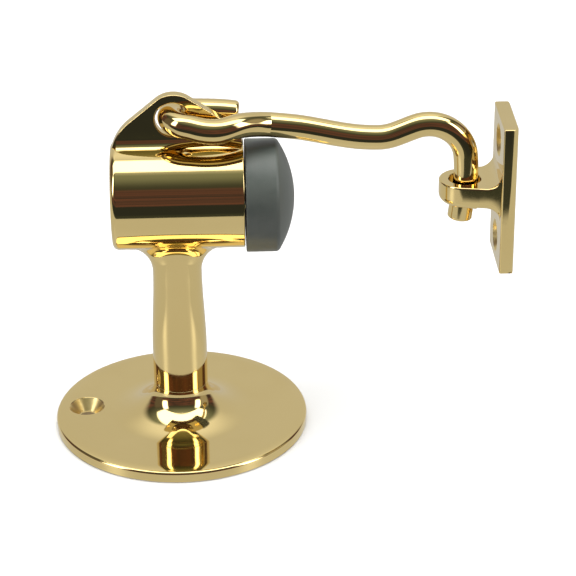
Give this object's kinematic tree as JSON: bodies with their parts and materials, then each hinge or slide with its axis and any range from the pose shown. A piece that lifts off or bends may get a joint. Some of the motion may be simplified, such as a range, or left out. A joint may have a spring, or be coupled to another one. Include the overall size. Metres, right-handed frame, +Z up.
{
  "type": "floor door holder",
  "caption": "Polished brass floor door holder: round base, tapered post, drum with rubber bumper, and a pivoting hook that drops into a keeper's eye.",
  "frame": {"origin": "centre of the base flange's underside, on the floor", "axes": "+Z up, +X from the post towards the bumper, the keeper and the door, +Y to the left when looking along +X"},
  "size_m": [0.1366, 0.0762, 0.1064],
  "materials": {
    "polished_brass": "polished and lacquered",
    "grey_rubber": "satin",
    "zinc_steel": "zinc plated"
  },
  "bodies": {
    "stop": {"base_flange": "polished_brass", "stop_body": "polished_brass", "base_lockwasher": "zinc_steel", "base_locknut": "zinc_steel", "bumper": "grey_rubber", "bumper_stud": "zinc_steel"},
    "hook": {"hook": "polished_brass"},
    "keeper": {"keeper": "polished_brass"}
  },
  "joints": [
    {"name": "hook_swing", "type": "hinge", "parent": "stop", "child": "hook", "pos_m": [0, 0, 0.0988], "axis": [0, -1, 0], "range_deg": [0, 196]},
    {"name": "keeper_lift_off", "type": "slide", "parent": "hook", "child": "keeper", "axis": [-0.1264, 0, -0.992], "range_m": [0, 0.03]}
  ]
}
